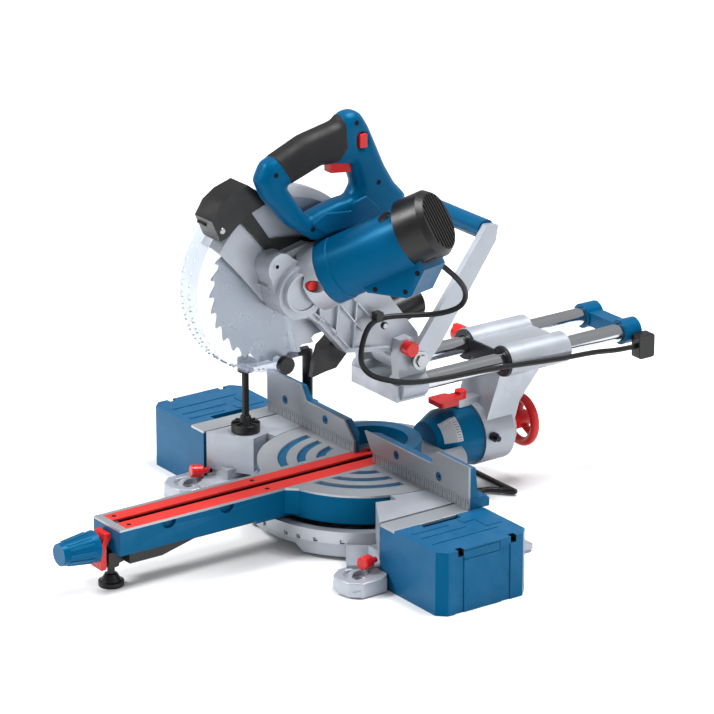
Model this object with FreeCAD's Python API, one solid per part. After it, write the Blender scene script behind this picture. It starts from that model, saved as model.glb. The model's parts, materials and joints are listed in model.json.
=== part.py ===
"""Sliding compound mitre saw with two box-shaped table extensions.

Frame: origin on the bench under the turntable pivot, X to the operator's right, Y away from the
operator, Z up. All lengths are millimetres. Each node is written as parts/NODE.step.
"""
import FreeCAD, Part
import math
import os

os.makedirs("parts", exist_ok=True)

V = FreeCAD.Vector
X_AXIS, Y_AXIS, Z_AXIS = V(1, 0, 0), V(0, 1, 0), V(0, 0, 1)

# ---------------------------------------------------------------- driving dimensions
TABLE_Z = 87.0                      # table surface above the bench
GAP = 0.4                           # clearance between bodies that pass each other
FIT = 0.05                          # radial clearance of shafts and pins

TURNTABLE_R = 141.0
DISC_BOTTOM = 47.0
PLATE_T = 3.0                       # table top plate and kerf plates
ARM_HALF, ARM_FRONT, ARM_BOTTOM = 32.0, -405.0, 51.0
KERF_LEFT, KERF_RIGHT = -25.0, 30.5
KERF_SLOT = (-5.0, 7.0)             # open slot between the two kerf plates
KERF_FRONT, KERF_BACK = -394.0, 45.0
SCALE_R_IN, SCALE_R_OUT = 146.0, 159.0

WING_X, WING_FRONT, WING_BACK = 202.0, -117.0, 28.0
BOX_IN, BOX_OUT, BOX_FRONT, BOX_BACK = 206.0, 338.0, -119.0, 24.0
STRIP_OUT = 237.0
ROD_R, ROD_Z, ROD_START = 5.0, 38.5, 66.0
ROD_YS = (-30.0, 12.0)
HOLE_X, HOLE_FRONT, HOLE_BACK, HOLE_R = 199.0, -145.0, 90.0, 4.5

FENCE_LEFT = (-226.0, -19.0)        # inner and outer ends of the fixed fence faces
FENCE_RIGHT = (23.5, 237.0)
FENCE_LOW = 16.0                    # height of the fixed fence
FENCE_MID, FENCE_TOP = 40.0, 60.0   # heights of the sliding fence
CLAMP_X, CLAMP_POST_Y, CLAMP_PAD_Y = -174.0, 32.0, -71.0
CLAMP_R, CLAMP_ARM_Z = 7.5, 96.0

BEVEL_Z = TABLE_Z - 3.0             # bevel axis, along Y
DRUM_R, DRUM_FRONT, DRUM_BACK = 42.0, 105.0, 175.0
TILT_R, TILT_BACK = 45.0, 236.0
LEVER_Y = 164.0                     # pivot of the bevel stop lever

RAIL_X, RAIL_Z, RAIL_R = 42.0, TABLE_Z + 107.0, 12.5
RAIL_FRONT, RAIL_BACK = 30.0, 425.0
HOUSING_R, HOUSING_FRONT, HOUSING_BACK = 22.0, 204.0, 305.0
CARRIAGE_FRONT, CARRIAGE_BACK = 19.0, 67.0
PIVOT_Y, PIVOT_Z, PIVOT_R = 52.0, 232.0, 8.0

PIN_Y, PIN_Z = 36.0, 251.0          # transport pin

BLADE_Y, BLADE_Z, BLADE_R = -134.0, TABLE_Z + 275.0, 108.0
BLADE_HALF, BLADE_TEETH = 1.2, 30
UPPER_GUARD_R, LOWER_GUARD_R = 130.0, 126.5
GUARD_WALL, GUARD_SLOPE = 2.5, 12.0
DUCT_R = 20.0                       # dust outlet
UPPER_GUARD_X = (-16.0, 14.0)
LOWER_GUARD_X = (-48.0, 10.0)
MOTOR_START, MOTOR_END = V(57, -91.5, 383.5), V(177, -7.5, 461.5)
MOTOR_R, MOTOR_CAP_R = 42.0, 45.0
HANDLE_X = (21.0, 38.0, 55.0)       # left face, split plane, right face


# ---------------------------------------------------------------- shape helpers
def block(x0, x1, y0, y1, z0, z1):
    return Part.makeBox(x1 - x0, y1 - y0, z1 - z0, V(x0, y0, z0))


def cylinder(radius, start, axis, length):
    return Part.makeCylinder(radius, length, start, axis)


def rod(radius, start, end):
    """Cylinder between two points."""
    return Part.makeCylinder(radius, (end - start).Length, start, end - start)


def tube(outer, inner, start, axis, length):
    return cylinder(outer, start, axis, length).cut(cylinder(inner, start, axis, length))


def prism(points, axis, low, high):
    """Polygon in the plane across axis, extruded from low to high along it."""
    to_3d = {"x": lambda a, b: V(low, a, b), "y": lambda a, b: V(a, low, b), "z": lambda a, b: V(a, b, low)}
    along = {"x": X_AXIS, "y": Y_AXIS, "z": Z_AXIS}[axis]
    corners = [to_3d[axis](a, b) for a, b in points]
    return Part.Face(Part.makePolygon(corners + corners[:1])).extrude(along * (high - low))


def joined(*shapes):
    """One solid from several that overlap or touch."""
    first, rest = shapes[0], list(shapes[1:])
    return first.fuse(rest).removeSplitter()


def mirrored(shape):
    return shape.mirror(V(0, 0, 0), X_AXIS)


def rounded(shape, radius, chosen):
    """Fillet the edges that chosen(edge) picks."""
    edges = [edge for edge in shape.Edges if chosen(edge)]
    return shape.makeFillet(radius, edges)


def along(edge, axis):
    """True for a straight edge along axis."""
    if not isinstance(edge.Curve, Part.Line):
        return False
    return abs(edge.Curve.Direction.dot(axis)) > 0.999


def sector(radius, centre_y, centre_z, x0, x1, start_deg, sweep_deg):
    """Pie slice about an axis along X; angles run from +Y towards +Z."""
    pie = Part.makeCylinder(radius, x1 - x0, V(0, 0, 0), Z_AXIS, sweep_deg)
    pie.rotate(V(0, 0, 0), Z_AXIS, start_deg)
    pie.rotate(V(0, 0, 0), V(1, 1, 1), 120)
    pie.translate(V(x0, centre_y, centre_z))
    return pie


def export(node, *solids):
    """Write the solids of one node to its STEP file."""
    shape = solids[0] if len(solids) == 1 else Part.makeCompound(list(solids))
    assert shape.isValid(), node
    shape.exportStep("parts/" + node + ".step")
    print(node, len(shape.Solids), round(shape.Volume / 1000, 1))


# ---------------------------------------------------------------- base
def wing_outline():
    """Right-hand side table, seen from above."""
    return [(100, -46), (133, -50), (150, -52), (142, -80), (WING_X, WING_FRONT), (WING_X, WING_BACK),
            (100, WING_BACK)]


def foot(x0, x1, y0, y1, slope_front):
    """Cast foot with a rounded, sloping top and a screw recess."""
    high, low = 24.0, 9.0
    front, back = (low, high) if slope_front else (high, low)
    profile = [(y0, 4.0), (y1, 4.0), (y1, back), ((y0 + y1) / 2, high - 4), (y0, front)]
    body = prism(profile, "x", x0, x1)
    return rounded(body, 9.0, lambda e: along(e, Z_AXIS))


def base_side():
    """Right half of the base casting: side table, its skirt, the feet and the rod bores."""
    table = prism(wing_outline(), "z", 34.0, TABLE_Z)
    pocket = block(157, WING_X - 6, -74, WING_BACK - 6, 30, TABLE_Z - 8)
    side = table.cut(pocket)
    front = foot(172, 229, -174, BOX_FRONT - 1.5, True)
    back = foot(172, 229, 40, 118, False)
    web = prism([(95, -95), (175, -150), (WING_X, -115), (WING_X, 95), (175, 110), (95, 95)], "z", 6, 26)
    wall = block(165, WING_X, -108, WING_BACK, 20, 40)
    side = joined(side, front, back, web, wall)
    for y in (HOLE_FRONT, HOLE_BACK):
        side = side.cut(cylinder(HOLE_R, V(HOLE_X, y, 0), Z_AXIS, 60))
        side = side.cut(cylinder(11.0, V(HOLE_X, y, 12), Z_AXIS, 60))
    for y in ROD_YS:
        side = side.cut(cylinder(ROD_R + FIT, V(60, y, ROD_Z), X_AXIS, 200))
    return side


def base_casting():
    pan = tube(155, 62, V(0, 0, 6), Z_AXIS, 18)
    hub = joined(cylinder(34, V(0, 0, 0), Z_AXIS, 24), block(-34, 34, -64, 64, 6, 20),
                 block(-64, 64, -34, 34, 6, 20))
    ring = tube(SCALE_R_IN + 6, 138, V(0, 0, 24), Z_AXIS, 8)
    body = joined(pan, hub, ring, base_side(), mirrored(base_side()))
    body = body.cut(cylinder(TURNTABLE_R + 1.5, V(0, 0, 34), Z_AXIS, 80))
    body = body.cut(cylinder(12 + FIT, V(0, 0, 5), Z_AXIS, 40))
    body = body.cut(scale_ring(GAP / 2)).cut(anti_tip_bar())
    arch = prism([(-70, 0), (-52, 16), (52, 16), (70, 0)], "y", -200, -70)
    return body.cut(arch)


def scale_ring(extra=0.0):
    """Front half of the mitre scale, with detent notches on its lower edge."""
    ring = tube(SCALE_R_OUT + extra, SCALE_R_IN - extra, V(0, 0, 25 - extra), Z_AXIS, 17 + 2 * extra)
    keep = block(-170, 170, -170, -40, 0, 80)
    ring = ring.common(keep)
    if extra:
        return ring
    for angle in (0, 15, 22.5, 31.6, 45, -15, -22.5, -31.6, -45):
        notch = block(-3.2, 3.2, -SCALE_R_OUT - 5, -SCALE_R_IN - 7, 20, 31)
        notch.rotate(V(0, 0, 0), Z_AXIS, angle)
        ring = ring.cut(notch)
    return ring


def fence_half(x_in, x_out, post_x):
    """Fixed fence bar behind its face, with the socket of the clamp post."""
    x0, x1 = min(x_in, x_out), max(x_in, x_out)
    bar = block(x0, x1, 3, 30, TABLE_Z + 0.2, TABLE_Z + FENCE_LOW)
    boss = cylinder(15, V(post_x, CLAMP_POST_Y, TABLE_Z + 0.2), Z_AXIS, FENCE_LOW + 4)
    boss = boss.cut(block(-400, 400, 0, 17, TABLE_Z, TABLE_Z + 60))
    foot_pad = block(x1 - 26 if x1 > 0 else x0, x1 if x1 > 0 else x0 + 26, 4, 34, TABLE_Z + 0.2, TABLE_Z + 12)
    bar = joined(bar, boss, foot_pad)
    return bar.cut(cylinder(CLAMP_R + FIT, V(post_x, CLAMP_POST_Y, TABLE_Z - 5), Z_AXIS, 60))


def mitre_clearance(height):
    """Space behind the fence gap that the blade sweeps when it cuts at an angle."""
    return prism([(-9, -1), (9, -1), (46, 31), (-46, 31)], "z", TABLE_Z - 1, TABLE_Z + height)


def fence_casting():
    """Both fixed fence bars and the bridge that joins them behind the kerf."""
    centre = V(4, 14, TABLE_Z + 0.5)
    bridge = tube(66, 48, centre, Z_AXIS, 25).common(block(-80, 80, 17, 100, 0, 200))
    left = fence_half(FENCE_LEFT[1], FENCE_LEFT[0], CLAMP_X).cut(mitre_clearance(40))
    right = fence_half(FENCE_RIGHT[0], FENCE_RIGHT[1], -CLAMP_X).cut(mitre_clearance(40))
    return joined(left, bridge, right)


def fence_faces():
    z0 = TABLE_Z + 0.2
    left = block(FENCE_LEFT[0], FENCE_LEFT[1], 0, 3, z0, TABLE_Z + FENCE_LOW)
    right = block(FENCE_RIGHT[0], FENCE_RIGHT[1], 0, 3, z0, TABLE_Z + FENCE_LOW)
    return left, right


def anti_tip_bar():
    """Bent steel wire loop behind the base that stops the saw tipping back."""
    right = [V(30, 140, 13), V(30, 194, 6), V(56, 216, 6)]
    points = right + [V(-p.x, p.y, p.z) for p in reversed(right)]
    parts = [rod(4, a, b) for a, b in zip(points, points[1:])]
    parts += [Part.makeSphere(4, p) for p in points[1:-1]]
    return joined(*parts)


def side_box():
    """Right-hand table extension: a ribbed plastic box with a grip recess along its inner edge."""
    cut = 12.0
    outline = [(BOX_IN, BOX_FRONT), (BOX_OUT - cut, BOX_FRONT), (BOX_OUT, BOX_FRONT + cut),
               (BOX_OUT, BOX_BACK - cut), (BOX_OUT - cut, BOX_BACK), (BOX_IN, BOX_BACK)]
    inner = [(BOX_IN + 4, BOX_FRONT + 4), (BOX_OUT - cut - 2, BOX_FRONT + 4), (BOX_OUT - 4, BOX_FRONT + cut + 2),
             (BOX_OUT - 4, BOX_BACK - cut - 2), (BOX_OUT - cut - 2, BOX_BACK - 4), (BOX_IN + 4, BOX_BACK - 4)]
    body = prism(outline, "z", 0, TABLE_Z).cut(prism(inner, "z", 4, TABLE_Z - 20))
    strip_bed = block(BOX_IN - 1, STRIP_OUT, BOX_FRONT - 1, BOX_BACK + 1, TABLE_Z - 4, TABLE_Z + 1)
    body = body.cut(strip_bed)
    grip = block(STRIP_OUT, STRIP_OUT + 12, -80, -20, TABLE_Z - 16, TABLE_Z + 1)
    body = body.cut(grip)
    for y in (-96, -22):
        body = body.cut(block(BOX_OUT - 1.5, BOX_OUT + 1, y, y + 14, -1, TABLE_Z - 10))
    for y in (-92, -8):
        body = body.cut(block(BOX_OUT - 8, BOX_OUT + 1, y, y + 9, TABLE_Z - 9, TABLE_Z + 1))
    for y in ROD_YS:
        body = body.cut(cylinder(ROD_R, V(100, y, ROD_Z), X_AXIS, BOX_IN - 95))
    return body


def extension_frame():
    """Aluminium strip on top of the box and the two steel rods that guide it."""
    strip = block(BOX_IN, STRIP_OUT, BOX_FRONT, BOX_BACK, TABLE_Z - 4, TABLE_Z)
    rods = [cylinder(ROD_R, V(ROD_START, y, ROD_Z), X_AXIS, BOX_IN + 4 - ROD_START) for y in ROD_YS]
    return [strip] + rods


def clamp_lever():
    """Red lever near the right front foot that locks the extension."""
    knob = cylinder(9, V(196, -128, 34), V(0.3, -1, 0.1), 17)
    stem = cylinder(4, V(196, -117.5, 34), V(0, -1, 0), 14)
    return joined(knob, stem)


# ---------------------------------------------------------------- sliding fences
def sliding_fence(inner_low, inner_top, step_x, outer):
    """Face plate and backing of one upper fence; x values grow away from the blade."""
    z0 = TABLE_Z + FENCE_LOW + GAP
    z_mid, z_top = TABLE_Z + FENCE_MID, TABLE_Z + FENCE_TOP
    outline = [(inner_low, z0), (outer, z0), (outer, z_top), (step_x + 12, z_top), (step_x, z_mid),
               (inner_top, z_mid)]
    plate = prism(outline, "y", 0, 3)
    side = prism([(3, z0), (15.6, z0), (11, z_top - 2), (3, z_top - 2)], "x", -260, 260)
    backing = prism(outline, "y", 3, 30).common(side).cut(mitre_clearance(200))
    return plate, backing


# ---------------------------------------------------------------- turntable
def kerf_recess(depth_below, grow=0.0):
    return block(KERF_LEFT - grow, KERF_RIGHT + grow, KERF_FRONT - grow, KERF_BACK + grow,
                 TABLE_Z - depth_below, TABLE_Z + 1)


def arm_outline(half, front):
    """Front arm seen from above, wider where it meets the disc."""
    return [(-half, front), (half, front), (half, -148), (44, -134), (44, 0), (-44, 0), (-44, -134), (-half, -148)]


def turntable():
    """Casting with the front arm, the disc skirt and the bevel trunnion drum."""
    top = TABLE_Z - PLATE_T
    disc = cylinder(TURNTABLE_R, V(0, 0, DISC_BOTTOM), Z_AXIS, top - DISC_BOTTOM)
    disc = disc.cut(cylinder(TURNTABLE_R - 8, V(0, 0, DISC_BOTTOM - 1), Z_AXIS, top - DISC_BOTTOM - 7))
    hub = cylinder(30, V(0, 0, 36), Z_AXIS, top - 36)
    arm = prism(arm_outline(ARM_HALF, ARM_FRONT), "z", ARM_BOTTOM, top)
    keel = block(-26, 26, -190, -60, 44, 60)
    kerf_walls = block(-14, 17, -200, 128, 44, top)
    drum = cylinder(DRUM_R, V(0, 130, BEVEL_Z), Y_AXIS, DRUM_BACK - 130)
    nose = Part.makeCone(30, DRUM_R, 25, V(0, DRUM_FRONT, BEVEL_Z), Y_AXIS)
    neck = block(-38, 38, 95, 140, 46, 78)
    body = joined(disc, hub, arm, keel, kerf_walls, drum, nose, neck)
    body = body.cut(kerf_recess(PLATE_T, 0.3))
    body = body.cut(block(-6, 11.5, KERF_FRONT + 8, 66, 52, TABLE_Z + 1))
    body = body.cut(block(-25, -9, -392, -205, 50, 76)).cut(block(15, 26, -392, -205, 50, 76))
    for side in (-1, 1):
        for y in (-330, -240):
            scallop = cylinder(11, V(side * (ARM_HALF + 2), y, top), X_AXIS * -side, 7)
            body = body.cut(scallop)
    body = body.cut(cylinder(10 + FIT, V(0, 0, 30), Z_AXIS, 22))
    shaft_bore = cylinder(12 + FIT, V(0, 120, BEVEL_Z), Y_AXIS, 80)
    body = body.cut(shaft_bore)
    knob_bore = cylinder(4 + FIT, V(0, ARM_FRONT - 1, 60), Y_AXIS, 60)
    leg_bore = block(-14, 14, -411, -360, 30, ARM_BOTTOM)
    return body.cut(knob_bore).cut(leg_bore)


def table_top():
    """Machined plate over disc and arm, with arc grooves on both sides of the kerf."""
    z0 = TABLE_Z - PLATE_T
    disc = cylinder(TURNTABLE_R, V(0, 0, z0), Z_AXIS, PLATE_T)
    arm = prism(arm_outline(ARM_HALF, ARM_FRONT), "z", z0, TABLE_Z)
    plate = joined(disc, arm).cut(kerf_recess(PLATE_T + 1, 0.3))
    keep_out = block(-34, 38, -150, 150, z0 - 1, TABLE_Z + 1)
    front = block(-150, 150, -150, -12, z0 - 1, TABLE_Z + 1)
    for radius in (108, 82, 56):
        groove = tube(radius + 6, radius - 6, V(0, 0, z0 - 1), Z_AXIS, PLATE_T + 2)
        plate = plate.cut(groove.common(front).cut(keep_out))
    drum_relief = cylinder(DRUM_R + 0.2, V(0, DRUM_FRONT, BEVEL_Z), Y_AXIS, 90)
    return plate.cut(drum_relief)


def kerf_plates():
    z0 = TABLE_Z - PLATE_T
    left = block(KERF_LEFT, KERF_SLOT[0], KERF_FRONT, KERF_BACK, z0, TABLE_Z)
    right = block(KERF_SLOT[1], KERF_RIGHT, KERF_FRONT, KERF_BACK, z0, TABLE_Z)
    return left, right


def support_leg():
    """Black leg bracket under the front of the arm."""
    profile = [(-411, 50.6), (-411, 33), (-398, 33), (-372, 40), (-320, 50.6)]
    leg = prism(profile, "x", -13.5, 13.5)
    boss = cylinder(11, V(0, -400, 28), Z_AXIS, 20)
    leg = joined(leg, boss.common(block(-20, 20, -411, -389, 20, 50.6)))
    return leg.cut(cylinder(5 + FIT, V(0, -400, 20), Z_AXIS, 30.7))


def leg_foot():
    """Round screw foot under the arm."""
    pad = joined(cylinder(17, V(0, -400, 0), Z_AXIS, 7), Part.makeCone(14, 8, 10, V(0, -400, 7), Z_AXIS))
    return joined(pad, cylinder(5, V(0, -400, 10), Z_AXIS, 34))


def detent_lever():
    """Red lever under the arm's front end that lifts the mitre detent."""
    profile = [(-423, 28), (-414, 28), (-413.2, 60), (-407, 70), (-406, 78), (-415, 78), (-421, 62)]
    paddle = rounded(prism(profile, "x", -12, 12), 2.0, lambda e: along(e, X_AXIS))
    return paddle.cut(block(-6, 6, -430, -400, 51, 71))


def mitre_knob():
    """Tapered ribbed knob that clamps the turntable, with its rod."""
    knob = Part.makeCone(15, 21.5, 53, V(0, -478, 60), Y_AXIS)
    for i in range(10):
        angle = math.radians(36 * i)
        start = V(17.5 * math.cos(angle), -480, 60 + 17.5 * math.sin(angle))
        end = V(24.0 * math.cos(angle), -424, 60 + 24.0 * math.sin(angle))
        knob = knob.cut(rod(2.6, start, end))
    shank = cylinder(4, V(0, -430, 60), Y_AXIS, 60)
    return joined(knob, shank)


# ---------------------------------------------------------------- bevel arm
def tilt_arm():
    """Bevel cylinder, leaning column and the rail housing on top, in one casting."""
    hub = cylinder(TILT_R, V(0, DRUM_BACK + GAP, BEVEL_Z), Y_AXIS, TILT_BACK - DRUM_BACK - 12)
    dome = Part.makeCone(TILT_R, TILT_R - 12, 12, V(0, TILT_BACK - 12 + GAP, BEVEL_Z), Y_AXIS)
    profile = [(178, 100), (228, 96), (238, 128), (286, 184), (290, 200), (214, 200), (196, 150)]
    column = prism(profile, "x", -36, 36)
    housing = [cylinder(HOUSING_R, V(side * RAIL_X, HOUSING_FRONT, RAIL_Z), Y_AXIS, HOUSING_BACK - HOUSING_FRONT)
               for side in (-1, 1)]
    web = block(-RAIL_X, RAIL_X, HOUSING_FRONT, HOUSING_BACK, RAIL_Z - 14, RAIL_Z + 12)
    bracket = block(-9, 9, LEVER_Y - 9, 200, BEVEL_Z + DRUM_R + GAP, BEVEL_Z + TILT_R + 8)
    body = joined(hub, dome, column, web, bracket, *housing)
    for side in (-1, 1):
        body = body.cut(cylinder(RAIL_R + 3, V(side * RAIL_X, 190, RAIL_Z), Y_AXIS, 130))
    body = body.cut(block(-20, 20, 215, 295, RAIL_Z - 8, RAIL_Z + 6))
    body = body.cut(cylinder(12 + FIT, V(0, 160, BEVEL_Z), Y_AXIS, 100))
    lock_bore = cylinder(4 + FIT, V(-80, 225, RAIL_Z), X_AXIS, 70)
    return body.cut(lock_bore)


def rail_bearings():
    """Four ball sleeves, two on each rail."""
    sleeves = []
    for side in (-1, 1):
        for y in (HOUSING_FRONT + 6, HOUSING_BACK - 36):
            sleeves.append(tube(RAIL_R + 3, RAIL_R + FIT, V(side * RAIL_X, y, RAIL_Z), Y_AXIS, 30))
    return sleeves


def wiper_plate():
    """Black plate over the front of the rail housing."""
    y0, depth = HOUSING_FRONT - 4, 3.9
    plate = block(-RAIL_X, RAIL_X, y0, y0 + depth, RAIL_Z - 12, RAIL_Z + 12)
    rings = [cylinder(HOUSING_R - 1, V(side * RAIL_X, y0, RAIL_Z), Y_AXIS, depth) for side in (-1, 1)]
    plate = joined(plate, *rings)
    for side in (-1, 1):
        plate = plate.cut(cylinder(RAIL_R + 0.3, V(side * RAIL_X, y0 - 1, RAIL_Z), Y_AXIS, 10))
    return plate


def handwheel():
    """Three-spoked wheel and its clamp shaft along the bevel axis."""
    y = 256.0
    rim = Part.makeTorus(32, 6.5, V(0, y + 12, BEVEL_Z), Y_AXIS)
    hub = cylinder(13, V(0, y - 3, BEVEL_Z), Y_AXIS, 22)
    spokes = [rod(5, V(0, y + 10, BEVEL_Z),
                  V(32 * math.cos(math.radians(a)), y + 12, BEVEL_Z + 32 * math.sin(math.radians(a))))
              for a in (90, 210, 330)]
    shaft = cylinder(12, V(0, 125, BEVEL_Z), Y_AXIS, y - 120)
    return joined(rim, hub, shaft, *spokes)


def bevel_lever():
    """Red lever on top of the drum that releases the bevel stops."""
    z = BEVEL_Z + TILT_R + 8.3
    pad = rounded(block(-12, 22, 116, 148, z, z + 7), 5.0, lambda e: along(e, Z_AXIS))
    pivot = cylinder(8, V(0, LEVER_Y, z), Z_AXIS, 11)
    neck = block(-6, 8, 142, LEVER_Y, z, z + 7)
    return joined(pad, pivot, neck)


def bevel_stop_screws():
    """Stop screws on both sides of the bevel cylinder."""
    screws = []
    for side in (-1, 1):
        start = V(side * (TILT_R + 0.2), 186, BEVEL_Z + 6)
        screws.append(joined(cylinder(4, start, X_AXIS * side, 14), cylinder(6.5, start, X_AXIS * side, 7)))
    return screws


def slide_lock_knob():
    """Red knob on the left of the housing that locks the rails."""
    stem = cylinder(4, V(-RAIL_X - HOUSING_R - 10, 225, RAIL_Z), X_AXIS, 13)
    start = V(-RAIL_X - HOUSING_R - 26, 225, RAIL_Z)
    return joined(stem, cylinder(12, start, X_AXIS, 18), block(start.x - 5, start.x + 4, 221, 229,
                                                             RAIL_Z - 11, RAIL_Z + 11))


# ---------------------------------------------------------------- rail carriage
def rails():
    return [cylinder(RAIL_R, V(side * RAIL_X, RAIL_FRONT, RAIL_Z), Y_AXIS, RAIL_BACK - RAIL_FRONT)
            for side in (-1, 1)]


def rail_end_cap():
    y0 = 405.0
    rings = [cylinder(17.5, V(side * RAIL_X, y0, RAIL_Z), Y_AXIS, 27) for side in (-1, 1)]
    web = block(-RAIL_X, RAIL_X, y0 + 2, y0 + 25, RAIL_Z - 11, RAIL_Z + 9)
    cap = joined(web, *rings)
    for side in (-1, 1):
        cap = cap.cut(cylinder(RAIL_R, V(side * RAIL_X, y0 - 1, RAIL_Z), Y_AXIS, RAIL_BACK - y0 + 1))
    return cap


def cable_clamp():
    """Black cable clamp on the right of the rail end cap."""
    body = block(60, 78, 413, 440, RAIL_Z - 32, RAIL_Z + 2)
    body = rounded(body, 4.0, lambda e: along(e, X_AXIS))
    return body


def carriage():
    """Front casting that holds the rails and carries the head pivot."""
    low = block(-52, 52, CARRIAGE_FRONT, CARRIAGE_BACK, 176, 200)
    sockets = [cylinder(18, V(side * RAIL_X, CARRIAGE_FRONT + 6, RAIL_Z), Y_AXIS,
                        CARRIAGE_BACK - CARRIAGE_FRONT - 6) for side in (-1, 1)]
    lug_profile = [(26, 190), (22, 240), (26, 262), (44, 264), (68, 248), (71, 230), (67, 190)]
    lugs = [prism(lug_profile, "x", 34, 50), prism(lug_profile, "x", -50, -34)]
    body = joined(low, *sockets, *lugs)
    body = body.cut(cylinder(25, V(-33.6, PIVOT_Y, PIVOT_Z), X_AXIS, 67.2))
    for side in (-1, 1):
        body = body.cut(cylinder(RAIL_R, V(side * RAIL_X, RAIL_FRONT, RAIL_Z), Y_AXIS, 60))
    body = body.cut(cylinder(PIVOT_R, V(-60, PIVOT_Y, PIVOT_Z), X_AXIS, 120))
    return body.cut(cylinder(5 + FIT, V(20, PIN_Y, PIN_Z), X_AXIS, 60))


def carry_bar():
    """Aluminium side bar from the right of the carriage up to the carry grip."""
    bar = prism([(44, 222), (62, 222), (84, 246), (176, 376), (180, 398), (160, 400), (146, 380), (46, 250)], "x",
                50.3, 60)
    bar = rounded(bar, 4.0, lambda e: along(e, X_AXIS))
    return bar.cut(cylinder(PIVOT_R, V(50, PIVOT_Y, PIVOT_Z), X_AXIS, 20))


def carry_grip():
    """Cross grip and the far arm of the carry handle."""
    grip = rod(14, V(50, 166, 390), V(-60, 166, 390))
    arm = prism([(44, 222), (62, 222), (84, 246), (176, 376), (166, 392), (146, 380), (46, 250)], "x", -60, -50.3)
    body = joined(grip, arm)
    return body.cut(cylinder(PIVOT_R, V(-70, PIVOT_Y, PIVOT_Z), X_AXIS, 20))


def pivot_pin():
    return cylinder(PIVOT_R, V(-63, PIVOT_Y, PIVOT_Z), X_AXIS, 126)


def transport_pin():
    """Red pull pin on the right of the carriage that locks the head down."""
    knob = cylinder(10, V(50.4, PIN_Y, PIN_Z), X_AXIS, 15)
    return joined(knob, cylinder(5, V(36, PIN_Y, PIN_Z), X_AXIS, 20))


# ---------------------------------------------------------------- saw head
def head_spring():
    """Return spring around the pivot pin, as a plain sleeve."""
    return tube(14, PIVOT_R + 0.5, V(-30, PIVOT_Y, PIVOT_Z), X_AXIS, 10)


def gear_case():
    """Gear case with the arbor boss, the arm back to the pivot and the motor flange."""
    boss = cylinder(36, V(14.3, BLADE_Y, BLADE_Z), X_AXIS, 40)
    face = cylinder(27, V(54, BLADE_Y - 2, BLADE_Z + 2), X_AXIS, 8)
    nose = cylinder(27.9, V(7.2, BLADE_Y, BLADE_Z), X_AXIS, 8)
    side_boss = cylinder(20, V(14.3, -161, 398), X_AXIS, 32)
    cover = prism([(-145, 410), (-177, 386), (-162.8, 340.4), (-105.2, 383.6)], "x", 14.3, 46.3)
    arm_profile = [(-176, 372), (-150, 412), (-112, 420), (-60, 402), (20, 322), (66, 262), (74, 236), (48, 210),
                   (18, 244), (-50, 256), (-92, 304)]
    arm = prism(arm_profile, "x", 14.3, 33.4)
    lug = cylinder(24, V(-19.5, PIVOT_Y, PIVOT_Z), X_AXIS, 52.9)
    axis = (MOTOR_END - MOTOR_START).normalize()
    flange = cylinder(44, MOTOR_START - axis * 24, axis, 24)
    flange = flange.cut(block(-100, 14.3, -400, 100, 0, 800))
    body = boss
    for piece in (face, side_boss, cover, arm, flange, nose, lug):
        body = body.fuse(piece)
    body = body.cut(cylinder(MOTOR_R, MOTOR_START, axis, 70))
    body = body.cut(cylinder(PIVOT_R + FIT, V(-70, PIVOT_Y, PIVOT_Z), X_AXIS, 140))
    body = body.cut(cylinder(8 + FIT, V(0, BLADE_Y, BLADE_Z), X_AXIS, 50))
    cavity = cylinder(28, V(20, BLADE_Y, BLADE_Z), X_AXIS, 26)
    lock_bore = cylinder(4 + FIT, V(46, BLADE_Y + 4, BLADE_Z + 14), X_AXIS, 30)
    shaft_bore = cylinder(4 + FIT, MOTOR_START - axis * 21, axis, 40)
    lock_recess = cylinder(8.5, V(62, BLADE_Y + 4, BLADE_Z + 14), X_AXIS, 30)
    return body.cut(cavity).cut(lock_bore).cut(lock_recess).cut(shaft_bore)


def guard_side():
    """Region that the upper guard covers, seen from the side."""
    edge = [(-241, 430), (-203, 388), (-170, 348), (-147, 331), (-125, 320), (-94, 305), (-60, 290), (20, 300),
            (40, 540), (-330, 540), (-330, 470)]
    return prism(edge, "x", -80, 80)


def guard_drum(radius, x0, x1):
    """Round drum about the arbor with a sloping edge towards the motor side."""
    return joined(cylinder(radius, V(x0, BLADE_Y, BLADE_Z), X_AXIS, x1 - GUARD_SLOPE - x0),
                  Part.makeCone(radius, radius - GUARD_SLOPE, GUARD_SLOPE,
                                V(x1 - GUARD_SLOPE, BLADE_Y, BLADE_Z), X_AXIS))


def upper_guard():
    x0, x1 = UPPER_GUARD_X
    shell = guard_drum(UPPER_GUARD_R, x0, x1)
    inside = guard_drum(UPPER_GUARD_R - GUARD_WALL, x0 - 1, x1 - GUARD_WALL)
    shell = shell.cut(inside).common(guard_side())
    return shell.cut(cylinder(28.2, V(5, BLADE_Y, BLADE_Z), X_AXIS, 20))


def guard_trim():
    """Black nose over the front of the upper guard and the black strip along its side."""
    x0, x1 = UPPER_GUARD_X
    nose_profile = [(-240, 491), (-222, 503), (-196, 511), (-180, 499), (-165, 482), (-195, 472), (-209, 463),
                    (-229, 446), (-239, 443), (-252, 472)]
    nose = prism(nose_profile, "x", x0 - 1, x1 + 9).cut(guard_drum(UPPER_GUARD_R, x0 - 2, x1))
    strip_profile = [(-214, 468), (-193, 478), (-160, 430), (-145, 430), (-80, 420), (-73, 408), (-112, 396),
                     (-130, 403), (-165, 416), (-203, 459)]
    strip = prism(strip_profile, "x", x1, x1 + 6)
    return joined(nose, strip).cut(gear_case())


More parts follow.
